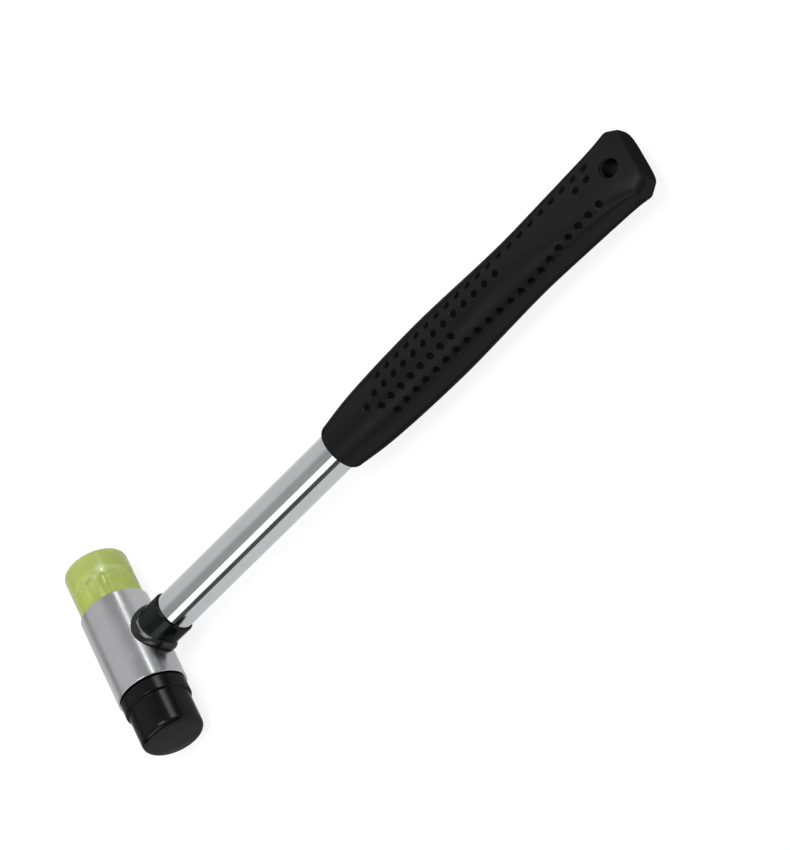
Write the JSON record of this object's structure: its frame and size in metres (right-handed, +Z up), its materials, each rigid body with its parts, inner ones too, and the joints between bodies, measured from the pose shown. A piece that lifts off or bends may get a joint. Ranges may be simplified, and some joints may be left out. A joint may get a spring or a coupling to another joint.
{
  "type": "double-faced soft hammer",
  "caption": "Soft-face hammer: a steel barrel with a screw-in rubber face opposite a screw-in plastic face, on a chromed tube handle with a moulded grip and hanging hole.",
  "frame": {"origin": "under the middle of the hammer's box, on the plane that the barrel lies on", "axes": "+X along the handle from the head to the butt, +Y along the head towards the plastic face, +Z up"},
  "size_m": [0.2694, 0.075, 0.025],
  "materials": {
    "satin_steel": "satin turned and plated steel",
    "plain_steel": "plain steel",
    "chrome": "bright chromed tube",
    "black_rubber": "smooth moulded rubber",
    "lime_plastic": "translucent yellow-green plastic",
    "collar_plastic": "semi-gloss black plastic",
    "grip_rubber": "soft matt black vinyl with rows of dimples",
    "plug_plastic": "plain dark plastic"
  },
  "bodies": {
    "hammer": {"head_barrel": "satin_steel", "neck_peg": "plain_steel", "neck_pin": "plain_steel", "handle_tube": "chrome", "neck_collar": "collar_plastic", "grip": "grip_rubber", "tube_plug": "plug_plastic"},
    "rubber_stud": {"rubber_face_stud": "plain_steel"},
    "rubber_tip": {"rubber_face": "black_rubber"},
    "plastic_stud": {"plastic_face_stud": "plain_steel"},
    "plastic_tip": {"plastic_face": "lime_plastic"}
  },
  "joints": [
    {"name": "rubber_stud_slide", "type": "slide", "parent": "hammer", "child": "rubber_stud", "axis": [0, -1, 0], "range_m": [0, 0.0102]},
    {"name": "rubber_face_turn", "type": "hinge", "parent": "rubber_stud", "child": "rubber_tip", "pos_m": [-0.12225, -0.025, 0.0125], "axis": [0, -1, 0], "range_deg": [0, 2880]},
    {"name": "plastic_stud_slide", "type": "slide", "parent": "hammer", "child": "plastic_stud", "axis": [0, 1, 0], "range_m": [0, 0.0102]},
    {"name": "plastic_face_turn", "type": "hinge", "parent": "plastic_stud", "child": "plastic_tip", "pos_m": [-0.12225, 0.025, 0.0125], "axis": [0, 1, 0], "range_deg": [0, 2880]}
  ],
  "couplings": [
    {"joint": "rubber_stud_slide", "follows": "rubber_face_turn", "m_per_rad": 0.00019894},
    {"joint": "plastic_stud_slide", "follows": "plastic_face_turn", "m_per_rad": 0.00019894}
  ]
}
